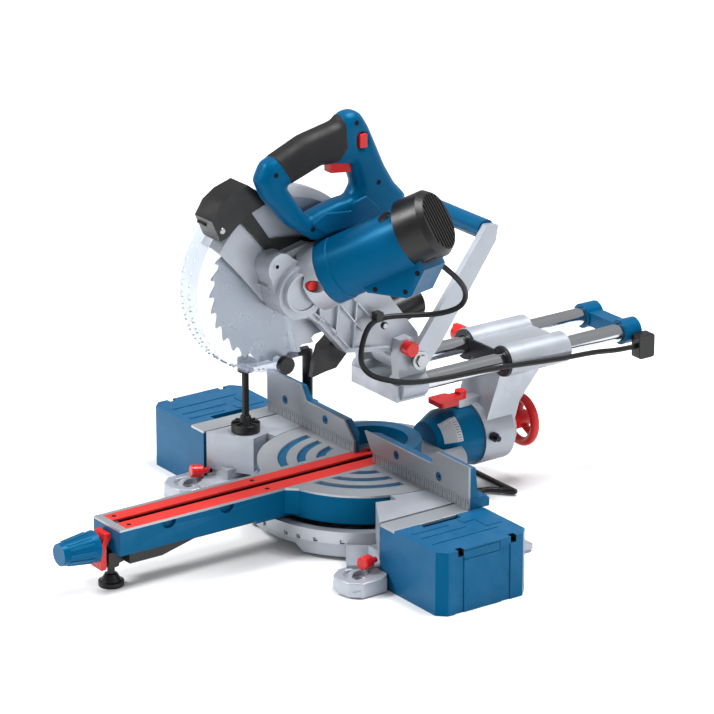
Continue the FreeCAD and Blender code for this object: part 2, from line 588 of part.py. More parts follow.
def motor_solid():
    """Outer form of the motor housing: a drum with a wedge-shaped electronics bay underneath."""
    axis = (MOTOR_END - MOTOR_START).normalize()
    down = V(0.476, 0.128, -0.870)
    away = axis.cross(down)
    drum = cylinder(MOTOR_R, MOTOR_START, axis, (MOTOR_END - MOTOR_START).Length - 40)
    profile = [(40, 20), (48, 44), (96, 70), (104, 70), (134, 46), (134, 20)]
    points = [MOTOR_START + axis * s + down * d - away * 22 for s, d in profile]
    bay = Part.Face(Part.makePolygon(points + points[:1])).extrude(away * 70)
    return drum.fuse(bay).removeSplitter()


def motor_parts():
    axis = (MOTOR_END - MOTOR_START).normalize()
    length = (MOTOR_END - MOTOR_START).Length
    housing = motor_solid().cut(cylinder(MOTOR_R - 5, MOTOR_START + axis * 4, axis, length - 43))
    housing = housing.cut(cylinder(4 + FIT, MOTOR_START, axis, 40))
    cap_start = MOTOR_START + axis * (length - 40)
    raised = cap_start + V(-2.9, -0.8, 5.2)
    cap = joined(cylinder(MOTOR_CAP_R, raised, axis, 36),
                 Part.makeCone(MOTOR_CAP_R, MOTOR_CAP_R - 6, 8, raised + axis * 36, axis))
    cap = cap.cut(cylinder(MOTOR_R - 8, cap_start - axis, axis, 36)).cut(motor_solid())
    armature = joined(cylinder(4, MOTOR_START - axis * 20, axis, length + 8),
                      cylinder(24, MOTOR_START + axis * 16, axis, 62), cylinder(14, cap_start + axis * 4, axis, 14))
    return housing, cap, armature


HANDLE_OUTER = [(-196, 520), (-184, 543), (-125, 568), (-72, 579), (-62, 589), (-46, 591), (-35, 585), (-24, 568),
                (-11, 540), (2, 511), (18, 484), (39, 461), (20, 440), (-30, 428), (-107, 424), (-149, 453),
                (-184, 493)]
HANDLE_INNER = [(-152, 507), (-97, 526), (-54, 518), (-44, 489), (-52, 476), (-74, 474), (-107, 466), (-120, 461)]
GRIP_ZONE = [(-170, 560), (-151, 500), (-66, 512), (-78, 600)]


def offset_outline(points, inset):
    """Closed outline with every side moved inwards by the same distance."""
    area = sum(p[0] * q[1] - q[0] * p[1] for p, q in zip(points, points[1:] + points[:1]))
    turn = inset if area > 0 else -inset
    moved = []
    for before, corner, after in zip(points[-1:] + points[:-1], points, points[1:] + points[:1]):
        u = FreeCAD.Vector(corner[0] - before[0], corner[1] - before[1], 0).normalize()
        w = FreeCAD.Vector(after[0] - corner[0], after[1] - corner[1], 0).normalize()
        bisector = FreeCAD.Vector(-u.y - w.y, u.x + w.x, 0)
        shift = bisector * (2 * turn / bisector.Length ** 2)
        moved.append((corner[0] + shift.x, corner[1] + shift.y))
    return moved


def crowned(points, split, face, inset):
    """Prism between the split plane and the outer face, with a broad slope round the outer face."""
    shoulder = split + (face - split) * 0.45
    inner = offset_outline(points, inset)
    wires = [Part.makePolygon([V(x, p[0], p[1]) for p in ring + ring[:1]])
             for x, ring in ((shoulder, points), (face, inner))]
    slope = Part.makeLoft(wires, True, True)
    return prism(points, "x", min(split, shoulder), max(split, shoulder)).fuse(slope)


def handle_shell(split, face):
    """One half of the D-handle."""
    hole = crowned(HANDLE_INNER, split, face, -7)
    beyond = prism(HANDLE_INNER, "x", split - 1, split + 1)
    return crowned(HANDLE_OUTER, split, face, 8).cut(hole).cut(beyond)


def cable_run(points, radius):
    """Tube along straight runs joined by tangent arcs."""
    edges, last = [], points[0]
    for before, corner, after in zip(points, points[1:], points[2:]):
        to_before, to_after = before - corner, after - corner
        turn = math.pi - to_before.getAngle(to_after)
        bend = 0.45 * min(to_before.Length, to_after.Length) / math.tan(turn / 2)
        reach = bend * math.tan(turn / 2)
        u, w = V(to_before).normalize(), V(to_after).normalize()
        start, end = corner + u * reach, corner + w * reach
        middle_dir = (u + w).normalize()
        centre = corner + middle_dir * (bend / math.cos(turn / 2))
        middle = centre - middle_dir * bend
        edges.append(Part.LineSegment(last, start).toShape())
        edges.append(Part.Arc(start, middle, end).toShape())
        last = end
    edges.append(Part.LineSegment(last, points[-1]).toShape())
    wire = Part.Wire(edges)
    direction = (points[1] - points[0]).normalize()
    section = Part.Wire(Part.makeCircle(radius, points[0], direction))
    return wire.makePipeShell([section], True, False)


CABLE_R = 3.7
CABLE_HEAD = [V(135, 23, 396), V(141, 50, 372), V(130, 76, 342), V(108, 84, 314), V(84, 66, 301), V(62, 32, 300),
              V(48, -4, 301), V(46, -26, 291), V(50, -36, 268)]
CABLE_LOOP = [V(50, -36, 268), V(52.8, -43, 251.9), V(57.5, -34, 231), V(61, -10, 218), V(69.5, 30, 207),
              V(70, 58, 205)]
CABLE_RAIL = [V(70, 58, 205), V(70.5, 86, 203), V(70, 135, 201), V(70.6, 190, 198), V(70, 240, 193),
              V(70.4, 290, 189), V(70, 340, 187), V(69, 385, 180), V(69, 413, 180)]


def blade():
    """Toothed saw blade."""
    points = []
    for i in range(BLADE_TEETH):
        base = 2 * math.pi * i / BLADE_TEETH
        pitch = 2 * math.pi / BLADE_TEETH
        for radius, share in ((BLADE_R, 0.0), (BLADE_R - 7, 0.03), (BLADE_R - 7.5, 0.3), (BLADE_R - 1.5, 0.8)):
            angle = base + share * pitch
            points.append((BLADE_Y + radius * math.cos(angle), BLADE_Z + radius * math.sin(angle)))
    disc = prism(points, "x", -BLADE_HALF, BLADE_HALF)
    return disc.cut(cylinder(8, V(-10, BLADE_Y, BLADE_Z), X_AXIS, 20))


def arbor():
    """Arbor shaft with both flanges, the blade bolt and the driven gear."""
    y, z = BLADE_Y, BLADE_Z
    outer = cylinder(19, V(-5, y, z), X_AXIS, 5 - BLADE_HALF)
    inner = cylinder(19, V(BLADE_HALF, y, z), X_AXIS, 6.8 - BLADE_HALF)
    shaft = cylinder(8, V(-6, y, z), X_AXIS, 54)
    head = cylinder(9, V(-13, y, z), X_AXIS, 8)
    gear = cylinder(25, V(24, y, z), X_AXIS, 12)
    return joined(outer, inner, shaft, head, gear)


def lower_guard():
    """Clear guard: two cheeks and a slotted rim round the lower front of the blade."""
    x0, x1 = LOWER_GUARD_X
    start, sweep = 131.0, 152.0
    rim = guard_drum(LOWER_GUARD_R, x0, x1)
    inside = guard_drum(LOWER_GUARD_R - GUARD_WALL, x0 + GUARD_WALL, x1 - GUARD_WALL)
    shell = rim.cut(inside).common(sector(200, BLADE_Y, BLADE_Z, -80, 80, start, sweep))
    ring = cylinder(40, V(x1 - GUARD_WALL, BLADE_Y, BLADE_Z), X_AXIS, GUARD_WALL)
    shell = joined(shell, ring).cut(cylinder(28.0, V(5, BLADE_Y, BLADE_Z), X_AXIS, 20))
    shell = shell.cut(cylinder(3 + FIT, V(5, BLADE_Y, BLADE_Z - 111), X_AXIS, 10))
    for x in (-38.0, -21.0):
        for i in range(16):
            angle = start + 20 + 7.5 * i
            slot = block(x - 2, x + 2, LOWER_GUARD_R - 8, LOWER_GUARD_R + 8, -3.2, 3.2)
            slot.rotate(V(0, 0, 0), X_AXIS, angle)
            slot.translate(V(0, BLADE_Y, BLADE_Z))
            shell = shell.cut(slot)
    return shell


def guard_roller():
    """Black roller at the lower end of the guard, with its axle stub."""
    y, z = BLADE_Y, BLADE_Z - 111
    return joined(cylinder(12, V(LOWER_GUARD_X[1] + 0.3, y, z), X_AXIS, 9), cylinder(3, V(7.5, y, z), X_AXIS, 8))


def dust_chute():
    """Black chute behind the blade and the outlet tube at the rear of the head."""
    plate = prism([(-113, 323), (-72, 303), (-58, 262), (-70, 228), (-91, 224), (-84, 262), (-100, 292)], "x", 5.5, 14)
    catcher = prism([(-58, 262), (-70, 228), (-52, 230), (-30, 252), (-20, 300), (-32, 296)], "x", -22, 14)
    duct_axis = V(0, 0.98, 0.2)
    duct = cylinder(DUCT_R, V(-6, -36, 264), duct_axis, 132)
    duct = duct.cut(prism([(-80, 240), (-52, 230), (-30, 252), (-20, 300), (-20, 330), (-80, 330)], "x", -40, 40))
    body = joined(plate, catcher, duct).cut(cylinder(DUCT_R - 2.5, V(-6, -16, 268), duct_axis, 140))
    return body.cut(gear_case()).cut(guard_drum(UPPER_GUARD_R, -60, UPPER_GUARD_X[1]))


# ---------------------------------------------------------------- writing the nodes
def write_base():
    pivot_bolt = joined(cylinder(10, V(0, 0, 30), Z_AXIS, 20), cylinder(12, V(0, 0, 8), Z_AXIS, 22))
    export("base_casting", base_casting(), pivot_bolt)
    export("mitre_scale", scale_ring())
    export("fence_casting", fence_casting())
    export("fence_faces", *fence_faces())
    export("anti_tip_bar", anti_tip_bar())
    pads = [tube(16, HOLE_R + 1, V(side * HOLE_X, y, 0), Z_AXIS, 4)
            for side in (-1, 1) for y in (HOLE_FRONT, HOLE_BACK)]
    export("base_feet", *pads)
    for name, turn in (("right", lambda shape: shape), ("left", mirrored)):
        export("side_box_" + name, turn(side_box()))
        export("extension_frame_" + name, *[turn(shape) for shape in extension_frame()])
        export("clamp_lever_" + name, turn(clamp_lever()))
    export("sliding_fence_right", *sliding_fence(20, 5, 154, FENCE_RIGHT[1]))
    left = sliding_fence(19, 42, 134, -FENCE_LEFT[0])
    export("sliding_fence_left", *[mirrored(shape) for shape in left])


def write_turntable():
    export("turntable", turntable())
    export("table_top", table_top())
    export("kerf_plates", *kerf_plates())
    export("support_leg", support_leg())
    export("leg_foot", leg_foot())
    export("detent_lever", detent_lever())
    export("mitre_knob", mitre_knob())


def write_bevel_arm():
    export("tilt_arm", tilt_arm())
    export("rail_bearings", *rail_bearings())
    export("wiper_plate", wiper_plate())
    export("handwheel", handwheel())
    export("bevel_lever", bevel_lever())
    export("bevel_stop_screws", *bevel_stop_screws())
    export("slide_lock_knob", slide_lock_knob())


def write_carriage():
    export("rails", *rails())
    export("rail_end_cap", rail_end_cap())
    export("cable_clamp", cable_clamp())
    export("carriage", carriage())
    export("carry_bar", carry_bar())
    export("carry_grip", carry_grip())
    export("pivot_pin", pivot_pin())
    export("transport_pin", transport_pin())
    export("head_spring", head_spring())


def write_head():
    export("gear_case", gear_case())
    export("upper_guard", upper_guard())
    export("guard_trim", guard_trim())
    housing, cap, armature = motor_parts()
    export("motor_housing", housing)
    export("motor_end_cap", cap)
    export("armature", armature)
    left = handle_shell(HANDLE_X[1], HANDLE_X[0]).cut(motor_solid()).cut(gear_case()).cut(guard_trim())
    right = handle_shell(HANDLE_X[1], HANDLE_X[2]).cut(motor_solid()).cut(gear_case()).cut(guard_trim())
    zone = prism(GRIP_ZONE, "x", 0, 80)
    grip = joined(left, right).common(zone)
    trigger_pocket = block(29.5, 46.5, -84, -49, 500, 540)
    lock_pocket = block(44.5, 80, -45, -31, 540, 561)
    export("handle_left", left.cut(zone).cut(trigger_pocket))
    export("handle_right", right.cut(zone).cut(trigger_pocket).cut(lock_pocket))
    export("handle_grip", grip.cut(trigger_pocket))
    export("trigger", trigger())
    export("lock_off", lock_off())
    export("spindle_lock", spindle_lock())
    export("dust_chute", dust_chute())
    export("blade", blade())
    export("arbor", arbor())
    export("lower_guard", lower_guard())
    export("guard_roller", guard_roller())
    export("cable_boot", cable_boot())
    export("cable_head", cable_run(CABLE_HEAD, CABLE_R))
    export("cable_loop", cable_run(CABLE_LOOP, CABLE_R))
    export("cable_rail", cable_run(CABLE_RAIL, CABLE_R))


def trigger():
    return prism([(-83, 512), (-50, 508), (-50, 532), (-83, 532)], "x", 30, 46)


def lock_off():
    return rounded(block(48, 56.8, -44, -32, 541, 560), 2.0, lambda e: along(e, X_AXIS))


def spindle_lock():
    return joined(cylinder(4, V(50, BLADE_Y + 4, BLADE_Z + 14), X_AXIS, 20),
                  cylinder(7, V(65.5, BLADE_Y + 4, BLADE_Z + 14), X_AXIS, 7))


def cable_boot():
    """Rubber boot where the mains lead leaves the motor."""
    way = (CABLE_HEAD[1] - CABLE_HEAD[0]).normalize()
    return rod(6, CABLE_HEAD[0] - way * 24, CABLE_HEAD[0]).cut(motor_solid())


def write_clamp():
    post = cylinder(CLAMP_R, V(CLAMP_X, CLAMP_POST_Y, TABLE_Z + 0.3), Z_AXIS, CLAMP_ARM_Z)
    arm = rod(6.5, V(CLAMP_X, CLAMP_POST_Y, TABLE_Z + CLAMP_ARM_Z), V(CLAMP_X, CLAMP_PAD_Y, TABLE_Z + CLAMP_ARM_Z))
    nut = cylinder(11, V(CLAMP_X, CLAMP_PAD_Y, TABLE_Z + CLAMP_ARM_Z - 9), Z_AXIS, 18)
    body = joined(post, arm, nut).cut(cylinder(5 + FIT, V(CLAMP_X, CLAMP_PAD_Y, 0), Z_AXIS, 400))
    export("clamp_post", body)
    spindle = cylinder(5, V(CLAMP_X, CLAMP_PAD_Y, TABLE_Z + 10), Z_AXIS, 110)
    pad = cylinder(20, V(CLAMP_X, CLAMP_PAD_Y, TABLE_Z + 0.3), Z_AXIS, 12)
    export("clamp_spindle", joined(spindle, pad))


if __name__ == "__main__":
    write_base()
    write_turntable()
    write_bevel_arm()
    write_carriage()
    write_head()
    write_clamp()
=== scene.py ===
"""Looks of the sliding compound mitre saw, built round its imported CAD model."""

import json
import math

import bmesh
import bpy
from mathutils import Matrix, Vector
from mathutils.bvhtree import BVHTree

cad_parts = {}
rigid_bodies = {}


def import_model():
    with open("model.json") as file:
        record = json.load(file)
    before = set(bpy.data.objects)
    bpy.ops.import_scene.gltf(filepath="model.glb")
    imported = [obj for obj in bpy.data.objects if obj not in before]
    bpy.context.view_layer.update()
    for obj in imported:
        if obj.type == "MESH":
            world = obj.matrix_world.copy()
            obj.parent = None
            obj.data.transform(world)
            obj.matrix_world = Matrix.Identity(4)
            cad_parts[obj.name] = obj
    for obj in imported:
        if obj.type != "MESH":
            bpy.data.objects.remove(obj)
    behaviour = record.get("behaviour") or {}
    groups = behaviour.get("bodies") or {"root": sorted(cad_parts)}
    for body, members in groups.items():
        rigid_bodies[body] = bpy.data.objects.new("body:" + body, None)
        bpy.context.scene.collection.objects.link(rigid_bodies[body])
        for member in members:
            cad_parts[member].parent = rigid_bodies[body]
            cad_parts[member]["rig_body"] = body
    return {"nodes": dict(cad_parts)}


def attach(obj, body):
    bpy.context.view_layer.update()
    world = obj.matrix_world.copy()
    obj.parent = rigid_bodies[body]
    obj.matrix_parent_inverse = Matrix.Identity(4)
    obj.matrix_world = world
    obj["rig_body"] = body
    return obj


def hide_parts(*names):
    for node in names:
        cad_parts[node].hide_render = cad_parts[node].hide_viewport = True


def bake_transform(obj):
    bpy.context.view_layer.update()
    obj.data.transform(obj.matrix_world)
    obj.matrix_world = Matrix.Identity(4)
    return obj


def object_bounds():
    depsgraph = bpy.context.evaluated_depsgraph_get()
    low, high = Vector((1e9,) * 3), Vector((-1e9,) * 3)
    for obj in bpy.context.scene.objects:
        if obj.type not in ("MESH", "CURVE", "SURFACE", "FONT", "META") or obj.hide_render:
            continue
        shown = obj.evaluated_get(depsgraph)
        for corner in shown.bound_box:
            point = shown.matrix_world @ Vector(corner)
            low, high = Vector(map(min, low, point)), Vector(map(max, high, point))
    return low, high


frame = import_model()
NODES = frame["nodes"]
CAD_BOX = [list(corner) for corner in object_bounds()]
MM = 0.001
X, Y, Z = Vector((1, 0, 0)), Vector((0, 1, 0)), Vector((0, 0, 1))
ROW = Matrix.Identity(4)

# Places on the saw in its rest pose, in millimetres.
BLADE_Y, BLADE_Z = -134, 362
MOTOR_START, MOTOR_END = Vector((57, -91.5, 383.5)), Vector((177, -7.5, 461.5))
HEAD_PIVOT_Y, HEAD_PIVOT_Z = 52, 232
BEVEL_AXIS_Z = 84
KNOB_AXIS_Z = 60
FENCE_BOLT_Z = 114.4
CLAMP_PAD = Vector((-174, -71, 98.6))
BOX_END_X = 338
BOX_TOP_Z = 86.6


# ---------------------------------------------------------------- camera, light and floor
def linear(*rgb):
    """Display colour, 0 to 255 a channel, as linear red, green, blue and alpha."""
    shares = [c / 255 for c in rgb]
    return tuple(c / 12.92 if c < 0.04045 else ((c + 0.055) / 1.055) ** 2.4 for c in shares) + (1.0,)


def add_camera():
    """Long lens from the front right, about 20 degrees above the bench."""
    data = bpy.data.cameras.new("camera")
    data.sensor_width, data.lens = 36.0, 209.95
    data.clip_start, data.clip_end = 0.5, 60.0
    camera = bpy.data.objects.new("camera", data)
    bpy.context.scene.collection.objects.link(camera)
    back = Vector((0.76597, -0.54637, 0.33874)).normalized()
    right = Vector((0.5807, 0.8141, 0.0)).normalized()
    turn = Matrix((right, back.cross(right), back)).transposed().to_4x4()
    camera.matrix_world = Matrix.Translation((4.240, -3.033, 2.107)) @ turn
    bpy.context.scene.camera = camera


def add_area(name, place, target, size, watts, tint=(1, 1, 1)):
    """Round area light at one place, turned to face another."""
    data = bpy.data.lights.new(name, "AREA")
    data.shape, data.size, data.energy, data.color = "DISK", size, watts, tint
    lamp = bpy.data.objects.new(name, data)
    bpy.context.scene.collection.objects.link(lamp)
    lamp.location = place
    lamp.rotation_euler = (Vector(target) - Vector(place)).to_track_quat("-Z", "Y").to_euler()


def add_studio():
    """White surroundings with three soft lights."""
    world = bpy.data.worlds.new("studio")
    bpy.context.scene.world = world
    world.use_nodes = True
    sky = world.node_tree.nodes["Background"]
    sky.inputs["Color"].default_value = (1.0, 1.0, 1.0, 1.0)
    sky.inputs["Strength"].default_value = 0.44
    bpy.context.scene.view_settings.view_transform = "Standard"
    middle = (0.0, 0.0, 0.25)
    add_area("key", (-1.4, -2.4, 2.8), middle, 1.2, 120)
    add_area("top", (0.5, 0.9, 3.4), middle, 1.6, 150)
    add_area("side", (3.2, 0.9, 1.3), middle, 1.0, 22, (0.96, 0.98, 1.0))
    add_floor()


def add_floor(half=9):
    """Pale floor that touches the lowest point of the saw."""
    mesh = bpy.data.meshes.new("floor")
    low = CAD_BOX[0][2]
    corners = [(-half, -half, low), (half, -half, low), (half, half, low), (-half, half, low)]
    mesh.from_pydata(corners, [], [(0, 1, 2, 3)])
    floor = bpy.data.objects.new("floor", mesh)
    bpy.context.scene.collection.objects.link(floor)
    pale = bpy.data.materials.new("floor_pale")
    pale.use_nodes = True
    shader = pale.node_tree.nodes["Principled BSDF"]
    shader.inputs["Base Color"].default_value = (0.93, 0.935, 0.94, 1)
    shader.inputs["Roughness"].default_value = 0.75
    mesh.materials.append(pale)


# ---------------------------------------------------------------- materials
def make_noise(tree, scale, detail, stretch=(1, 1, 1)):
    """Noise in the object's own coordinates, stretched along an axis for brushed or drawn metal."""
    coordinates = tree.nodes.new("ShaderNodeTexCoord")
    mapping = tree.nodes.new("ShaderNodeMapping")
    mapping.inputs["Scale"].default_value = stretch
    texture = tree.nodes.new("ShaderNodeTexNoise")
    texture.inputs["Scale"].default_value = scale
    texture.inputs["Detail"].default_value = detail
    tree.links.new(coordinates.outputs["Object"], mapping.inputs["Vector"])
    tree.links.new(mapping.outputs["Vector"], texture.inputs["Vector"])
    return texture.outputs["Fac"]


def remap(tree, value, low, high, from_low=0.3, from_high=0.7):
    """Stretches a value's useful range to a new one, and clamps it there."""
    node = tree.nodes.new("ShaderNodeMapRange")
    for name, number in (("From Min", from_low), ("From Max", from_high), ("To Min", low), ("To Max", high)):
        node.inputs[name].default_value = number
    tree.links.new(value, node.inputs["Value"])
    return node.outputs["Result"]


def mix_colour(tree, share, first, second):
    """Mixes two colours, each a colour or a socket, by a share that is a socket."""
    node = tree.nodes.new("ShaderNodeMix")
    node.data_type = "RGBA"
    tree.links.new(share, node.inputs["Factor"])
    for socket, colour in ((node.inputs[6], first), (node.inputs[7], second)):
        if isinstance(colour, bpy.types.NodeSocket):
            tree.links.new(colour, socket)
        else:
            socket.default_value = colour
    return node.outputs[2]


def maths(tree, operation, first, second=None):
    """One arithmetic node; each value is a number or a socket."""
    node = tree.nodes.new("ShaderNodeMath")
    node.operation = operation
    for socket, value in zip(node.inputs, (first, second)):
        if isinstance(value, bpy.types.NodeSocket):
            tree.links.new(value, socket)
        elif value is not None:
            socket.default_value = value
    return node.outputs[0]


def axis_values(tree):
    """The object's own x, y and z as three sockets."""
    coordinates = tree.nodes.new("ShaderNodeTexCoord")
    split = tree.nodes.new("ShaderNodeSeparateXYZ")
    tree.links.new(coordinates.outputs["Object"], split.inputs[0])
    return split.outputs


def add_bump(tree, shader, height, depth):
    """Raises a finish by a height that is a socket, to a depth in metres."""
    bump = tree.nodes.new("ShaderNodeBump")
    bump.inputs["Strength"].default_value = 1.0
    bump.inputs["Distance"].default_value = depth
    tree.links.new(height, bump.inputs["Height"])
    tree.links.new(bump.outputs["Normal"], shader.inputs["Normal"])


def surface(name, colour, rough, metal=0.0, vary=0.07, grain=900.0, depth=0.00004, stretch=(1, 1, 1),
            wear_and_edge_highlight=0.0, fleck=0.0, gleam=0.5, sheen=(1, 1, 1, 1)):
    """Procedural finish: cloudy colour change, edges lightened as wear and painted highlight, uneven gloss,
    fine grain.
    """
    mat = bpy.data.materials.new(name)
    mat.use_nodes = True
    tree = mat.node_tree
    shader = tree.nodes["Principled BSDF"]
    shader.inputs["Metallic"].default_value = metal
    shader.inputs["Specular IOR Level"].default_value = gleam
    shader.inputs["Specular Tint"].default_value = sheen
    dark = tuple(c * (1 - vary) for c in colour[:3]) + (1,)
    light = tuple(min(1, c * (1 + vary)) for c in colour[:3]) + (1,)
    tint = mix_colour(tree, remap(tree, make_noise(tree, 14.0, 3.0), 0.0, 1.0), dark, light)
    if fleck:
        bright = tuple(min(1, c * (1 + fleck)) for c in colour[:3]) + (1,)
        spots = remap(tree, make_noise(tree, 2600.0, 1.0), 0.0, 0.6, 0.56, 0.7)
        tint = mix_colour(tree, spots, tint, bright)
    # Lighter colour on sharp edges, found by pointiness: partly wear, partly a painted highlight along the
    # edges.
    if wear_and_edge_highlight:
        edges = tree.nodes.new("ShaderNodeNewGeometry").outputs["Pointiness"]
        worn_and_lit_edges = maths(tree, "MULTIPLY", remap(tree, edges, 0.0, wear_and_edge_highlight, 0.52, 0.60),
                       remap(tree, make_noise(tree, 60.0, 4.0), 0.3, 1.0))
        tint = mix_colour(tree, worn_and_lit_edges, tint, tuple(min(1, c * 1.9 + 0.09) for c in colour[:3]) + (1,))
    tree.links.new(tint, shader.inputs["Base Color"])
    gloss = remap(tree, make_noise(tree, 45.0, 4.0, stretch), rough * 0.85, min(1, rough * 1.18))
    tree.links.new(gloss, shader.inputs["Roughness"])
    add_bump(tree, shader, make_noise(tree, grain, 2.0, stretch), depth)
    return mat


def ruled(mat, axis, pitch, share, depth):
    """Adds fine parallel grooves across one axis to a finish."""
    tree = mat.node_tree
    shader = tree.nodes["Principled BSDF"]
    phase = maths(tree, "FRACT", maths(tree, "DIVIDE", axis_values(tree)[axis], pitch))
    groove = maths(tree, "GREATER_THAN", phase, share)
    old = shader.inputs["Normal"].links[0].from_node
    bump = tree.nodes.new("ShaderNodeBump")
    bump.inputs["Distance"].default_value = depth
    tree.links.new(groove, bump.inputs["Height"])
    tree.links.new(old.outputs["Normal"], bump.inputs["Normal"])
    tree.links.new(bump.outputs["Normal"], shader.inputs["Normal"])
    return mat


def ticked(mat, low, high):
    """Dark graduation ticks along x between two heights: long ones every 10 mm, short ones between."""
    tree = mat.node_tree
    shader = tree.nodes["Principled BSDF"]
    x, _, z = axis_values(tree)[:3]
    short = maths(tree, "LESS_THAN", maths(tree, "FRACT", maths(tree, "DIVIDE", x, 0.005)), 0.17)
    tall = maths(tree, "LESS_THAN", maths(tree, "FRACT", maths(tree, "DIVIDE", x, 0.010)), 0.085)
    above = maths(tree, "GREATER_THAN", z, high - (high - low) * 0.45)
    band = maths(tree, "MULTIPLY", maths(tree, "GREATER_THAN", z, low), maths(tree, "LESS_THAN", z, high))
    ink = maths(tree, "MULTIPLY", band, maths(tree, "MAXIMUM", tall, maths(tree, "MULTIPLY", short, above)))
    tint = shader.inputs["Base Color"].links[0].from_socket
    tree.links.new(mix_colour(tree, ink, tint, linear(35, 38, 42)), shader.inputs["Base Color"])
    return mat


def clear_plastic(name, alpha):
    """Clear moulded plastic with soft scuffs."""
    mat = bpy.data.materials.new(name)
    mat.use_nodes = True
    tree = mat.node_tree
    shader = tree.nodes["Principled BSDF"]
    scuffs = remap(tree, make_noise(tree, 40.0, 3.0), 0.0, 1.0)
    tree.links.new(mix_colour(tree, scuffs, linear(176, 190, 208), linear(184, 197, 214)),
                   shader.inputs["Base Color"])
    tree.links.new(remap(tree, make_noise(tree, 30.0, 4.0), 0.05, 0.12), shader.inputs["Roughness"])
    shader.inputs["Alpha"].default_value = alpha
    shader.inputs["IOR"].default_value = 1.49
    add_bump(tree, shader, make_noise(tree, 18.0, 1.0), 0.00005)
    return mat


def seamed(mat, axis, place, half):
    """Dark hairline where two moulded halves meet."""
    tree = mat.node_tree
    shader = tree.nodes["Principled BSDF"]
    away = maths(tree, "ABSOLUTE", maths(tree, "SUBTRACT", axis_values(tree)[axis], place))
    line = maths(tree, "LESS_THAN", away, half)
    tint = shader.inputs["Base Color"].links[0].from_socket
    tree.links.new(mix_colour(tree, line, tint, linear(4, 30, 52)), shader.inputs["Base Color"])
    return mat


SHEEN = (0.02, 0.45, 0.85, 1)
SILVER = surface("silver_cast", linear(158, 163, 171), 0.40, 0.45, 0.05, 700, 0.00006, fleck=0.25, wear_and_edge_highlight=0.3)
BRUSHED = surface("machined_silver", linear(172, 176, 182), 0.34, 0.65, 0.04, 300, 0.00003, (0.05, 1, 1))
TABLE = ruled(surface("table_silver", linear(165, 169, 175), 0.36, 0.6, 0.04, 500, 0.00003, (1, 0.05, 1)),
              0, 0.0042, 0.72, 0.00025)
FACE = ticked(surface("fence_face", linear(142, 144, 149), 0.4, 0.6, 0.04, 400, 0.00003, (0.04, 1, 1)),
              0.0885, 0.102)
PLATE = surface("fence_plate", linear(140, 143, 148), 0.38, 0.6, 0.05, 300, 0.00004, (0.04, 1, 1))
BLUE = surface("blue_shell", linear(0, 74, 112), 0.34, 0.0, 0.05, 1300, 0.00005, wear_and_edge_highlight=0.12, gleam=0.35,
               sheen=SHEEN)
HANDLE_BLUE = seamed(surface("handle_blue", linear(0, 74, 112), 0.34, 0.0, 0.05, 1300, 0.00005, gleam=0.35,
                             sheen=SHEEN), 0, 0.038, 0.0003)
BLUE_PAINT = surface("blue_paint", linear(0, 74, 110), 0.32, 0.0, 0.05, 800, 0.00004, wear_and_edge_highlight=0.15, gleam=0.35,
                     sheen=SHEEN)
RED = surface("signal_red", linear(196, 22, 22), 0.3, 0.0, 0.05, 1000, 0.00004, wear_and_edge_highlight=0.12, gleam=0.4)
KERF_RED = surface("kerf_red", linear(206, 42, 36), 0.42, 0.0, 0.05, 900, 0.00004, gleam=0.3)
BLACK = surface("black_plastic", linear(15, 15, 17), 0.34, 0.0, 0.15, 1200, 0.00005, wear_and_edge_highlight=0.08, gleam=0.35)
RUBBER = surface("soft_black", linear(17, 17, 19), 0.55, 0.0, 0.15, 1500, 0.00012, gleam=0.3)
BLACK_STEEL = surface("black_steel", linear(16, 17, 19), 0.26, 0.3, 0.1, 700, 0.00003, gleam=0.4)
CHROME = surface("chrome_rail", linear(196, 199, 204), 0.13, 1.0, 0.02, 500, 0.00001, (1, 0.03, 1))
STEEL = surface("turned_steel", linear(158, 160, 164), 0.3, 1.0, 0.05, 600, 0.00002)
BLADE = surface("blade_steel", linear(150, 155, 163), 0.3, 0.75, 0.03, 500, 0.00002)
# The rim copy of the clear plastic is less clear, so the rim shows as a light band: a painted highlight.
CLEAR, CLEAR_RIM_HIGHLIGHT = clear_plastic("clear_guard", 0.16), clear_plastic("clear_rim_highlight", 0.42)
CABLE = surface("cable_black", linear(13, 13, 15), 0.45, 0.0, 0.08, 900, 0.00004, gleam=0.3)
# Deep black for ticks and screws, and as painted shade in slots, notches, sockets and screw holes.
DEEP_BLACK_AND_SHADE = surface("deep_black_and_shade", linear(6, 6, 7), 0.7, 0.0, 0.05, 900, 0.00002, gleam=0.2)


# ---------------------------------------------------------------- mesh tools
def new_piece(name, mesh, mat, body=None):
    """Object with one finish, and with its body where it is given."""
    piece = bpy.data.objects.new(name, mesh)
    bpy.context.scene.collection.objects.link(piece)
    if mat is not None:
        mesh.materials.append(mat)
    if body:
        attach(piece, body)
    return piece


def bake(piece):
    """Applies a piece's modifiers to its mesh."""
    bpy.context.view_layer.update()
    graph = bpy.context.evaluated_depsgraph_get()
    mesh = bpy.data.meshes.new_from_object(piece.evaluated_get(graph))
    piece.modifiers.clear()
    piece.data = mesh


def round_edges(piece, width, segments=2):
    """Rounds the sharp edges of a piece and smooths its curved faces."""
    bevel = piece.modifiers.new("bevel", "BEVEL")
    bevel.width, bevel.segments, bevel.limit_method = width, segments, "ANGLE"
    bevel.angle_limit = math.radians(30)
    piece.data.shade_smooth()
    weigh = piece.modifiers.new("weigh", "WEIGHTED_NORMAL")
    weigh.keep_sharp = False
    bake(piece)


def node_mesh(*nodes):
    """Copy of one or more CAD meshes with their flat faces made whole."""
    shape = bmesh.new()
    for node in nodes:
        shape.from_mesh(NODES[node].data)
    bmesh.ops.remove_doubles(shape, verts=shape.verts, dist=0.00001)
    bmesh.ops.dissolve_limit(shape, angle_limit=math.radians(0.6), verts=shape.verts, edges=shape.edges)
    mesh = bpy.data.meshes.new(nodes[0])
    shape.to_mesh(mesh)
    shape.free()
    return mesh


